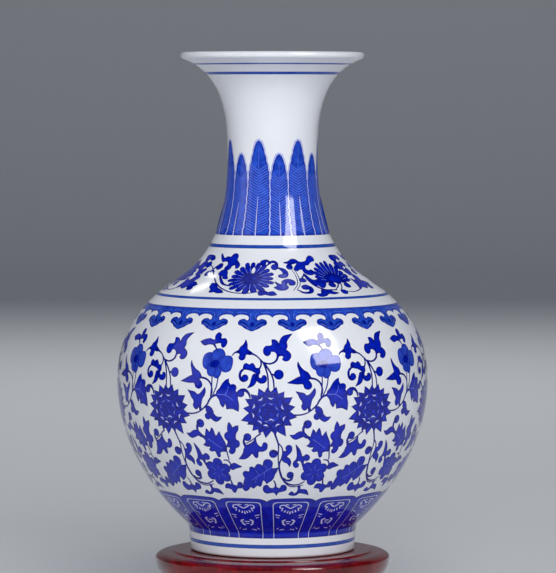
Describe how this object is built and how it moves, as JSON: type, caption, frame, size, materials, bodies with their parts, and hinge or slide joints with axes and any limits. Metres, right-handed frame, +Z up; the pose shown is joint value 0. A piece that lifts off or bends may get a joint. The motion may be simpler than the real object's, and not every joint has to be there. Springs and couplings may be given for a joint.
{
  "type": "vase",
  "caption": "Long-necked bottle vase with a round belly and flared mouth, painted in blue under the glaze, standing loose on a turned, lacquered wooden stand.",
  "frame": {"origin": "centre of the floor under the stand, at the underside of the felt pads", "axes": "+Z up along the vase's axis, with the front facing -Y"},
  "size_m": [0.2064, 0.2064, 0.3735],
  "materials": {
    "glazed_porcelain": "white porcelain with cobalt painting under a clear gloss glaze",
    "lacquered_wood": "dark red gloss lacquer over turned hardwood",
    "felt": "black wool felt"
  },
  "bodies": {
    "stand": {"stand_seat": "lacquered_wood", "stand_waist": "lacquered_wood", "stand_plinth": "lacquered_wood", "bun_foot_1": "lacquered_wood", "bun_foot_2": "lacquered_wood", "bun_foot_3": "lacquered_wood", "bun_foot_4": "lacquered_wood", "felt_pad_1": "felt", "felt_pad_2": "felt", "felt_pad_3": "felt", "felt_pad_4": "felt"},
    "vase": {"lower_body": "glazed_porcelain", "upper_body": "glazed_porcelain", "neck_and_mouth": "glazed_porcelain"}
  },
  "joints": [
    {"name": "vase_lift", "type": "slide", "parent": "stand", "child": "vase", "axis": [0, 0, 1], "range_m": [0, 0.08]}
  ]
}
